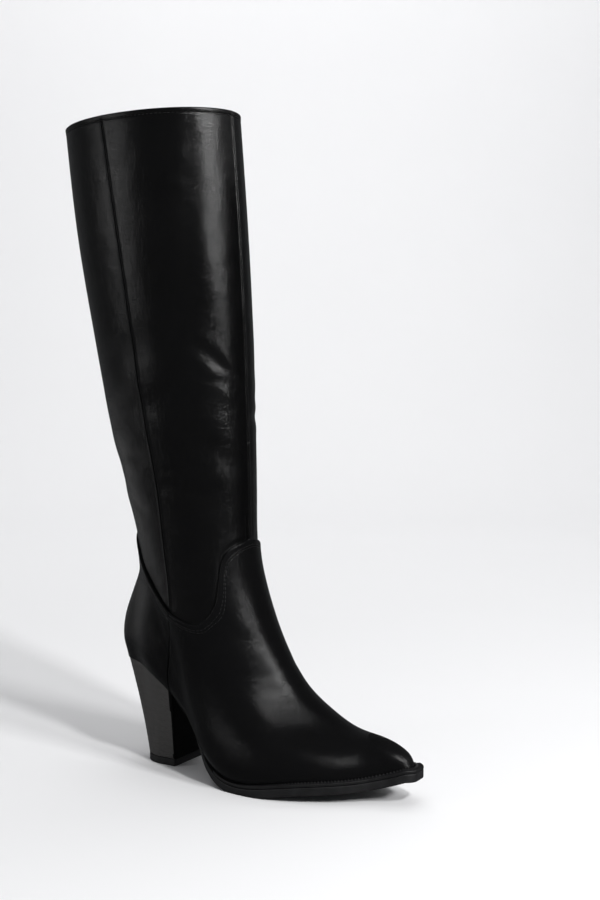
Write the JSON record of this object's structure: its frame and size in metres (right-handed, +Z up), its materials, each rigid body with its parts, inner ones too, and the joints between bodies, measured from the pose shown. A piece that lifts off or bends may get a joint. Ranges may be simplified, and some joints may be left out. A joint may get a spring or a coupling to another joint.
{
  "type": "knee-high boot",
  "caption": "Right black leather knee-high boot with almond-pointed toe, scalloped vamp and counter, full-length inner side zip and block heel.",
  "frame": {"origin": "on the floor, under the middle of the boot's box", "axes": "+X to the toe, +Y to the inner (zip) side, +Z up to the collar"},
  "size_m": [0.2894, 0.114, 0.4907],
  "materials": {
    "shaft_leather": "satin, fine grain",
    "foot_leather": "satin, fine grain, creased",
    "insole_board": "matte",
    "welt_rubber": "matte, notched",
    "sole_rubber": "matte",
    "heel_stack": "satin, stacked",
    "lift_rubber": "matte",
    "zip_cloth": "woven",
    "zip_teeth": "satin",
    "nickel": "brushed"
  },
  "bodies": {
    "boot": {"upper": "shaft_leather", "vamp": "foot_leather", "counter": "foot_leather", "insole": "insole_board", "welt": "welt_rubber", "outsole": "sole_rubber", "heel": "heel_stack", "heel_lift": "lift_rubber", "zip_tape": "zip_cloth", "zip_coil": "zip_teeth", "zip_slider": "nickel"},
    "pull": {"zip_pull": "nickel"}
  },
  "joints": [
    {"name": "zip_pull_swing", "type": "hinge", "parent": "boot", "child": "pull", "pos_m": [-0.07045, 0.04673, 0.47455], "axis": [0.9968, -0.0115, 0.0796], "range_deg": [0, 160]}
  ]
}
